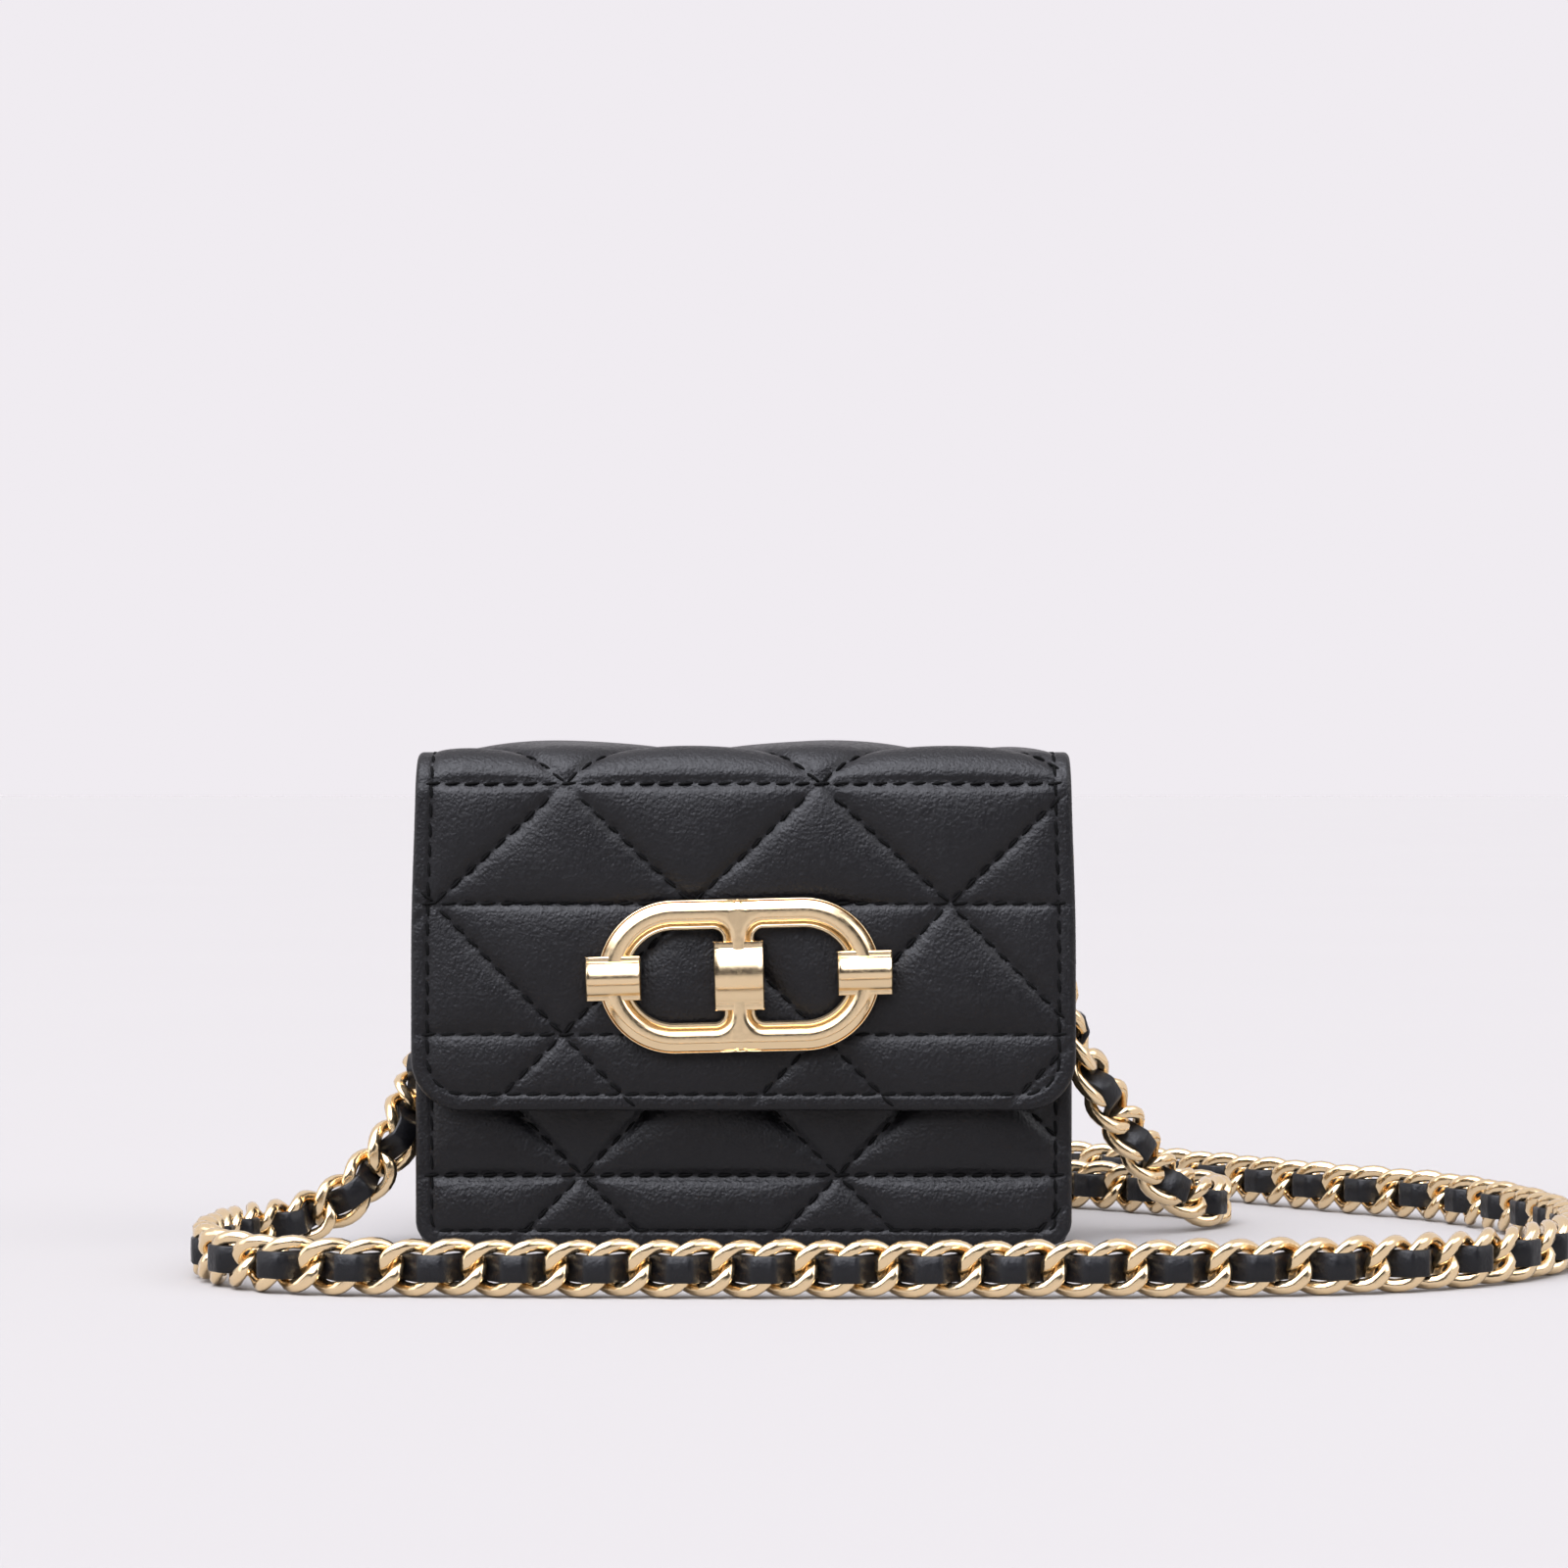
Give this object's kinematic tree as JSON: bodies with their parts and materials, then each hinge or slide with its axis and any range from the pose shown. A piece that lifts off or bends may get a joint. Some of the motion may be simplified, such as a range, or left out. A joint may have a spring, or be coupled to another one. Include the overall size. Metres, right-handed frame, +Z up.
{
  "type": "crossbody purse",
  "caption": "Small black quilted flap purse with a pale gold link badge, magnetic snap, side D-rings and a chain strap woven with a leather ribbon, laid on the surface around it.",
  "frame": {"origin": "middle of the bag's underside, on the surface that it stands on", "axes": "+Z up, -Y towards the flap and its badge, +X to the right as seen from the front"},
  "size_m": [0.2391, 0.2277, 0.088],
  "materials": {
    "leather": "satin",
    "lining": "matte",
    "padding": "matte",
    "board": "matte",
    "pale_gold": "polished",
    "steel": "satin"
  },
  "bodies": {
    "bag": {"front_panel": "leather", "back_panel": "leather", "base_panel": "leather", "gusset_left": "leather", "gusset_right": "leather", "ring_tab_left": "leather", "ring_tab_right": "leather", "strap": "leather", "front_lining": "lining", "back_lining": "lining", "base_lining": "lining", "gusset_lining_left": "lining", "gusset_lining_right": "lining", "slip_pocket": "lining", "front_padding": "padding", "back_padding": "padding", "base_board": "board", "snap_socket": "pale_gold", "strap_end_link_left": "pale_gold", "strap_end_link_right": "pale_gold"},
    "flap_top": {"flap_top_leather": "leather", "flap_top_padding": "padding", "flap_top_lining": "lining"},
    "flap_front": {"flap_front_leather": "leather", "flap_front_padding": "padding", "flap_front_lining": "lining", "badge_frame": "pale_gold", "badge_band_left": "pale_gold", "badge_band_right": "pale_gold", "badge_band_centre": "pale_gold", "badge_fixing_plate": "steel", "snap_stud": "pale_gold"},
    "ring_left": {"d_ring_left": "pale_gold"},
    "ring_right": {"d_ring_right": "pale_gold"}
  },
  "joints": [
    {"name": "flap_back_crease", "type": "hinge", "parent": "bag", "child": "flap_top", "pos_m": [0, 0.0165, 0.0842], "axis": [-1, 0, 0], "range_deg": [0, 150]},
    {"name": "flap_front_fold", "type": "hinge", "parent": "flap_top", "child": "flap_front", "pos_m": [0, -0.014, 0.0838], "axis": [-1, 0, 0], "range_deg": [0, 88]},
    {"name": "ring_swing_left", "type": "hinge", "parent": "bag", "child": "ring_left", "pos_m": [-0.05435, 0.00325, 0.076], "axis": [0, 1, 0], "range_deg": [0, 12]},
    {"name": "ring_swing_right", "type": "hinge", "parent": "bag", "child": "ring_right", "pos_m": [0.05435, 0.00325, 0.076], "axis": [0, -1, 0], "range_deg": [0, 12]}
  ]
}
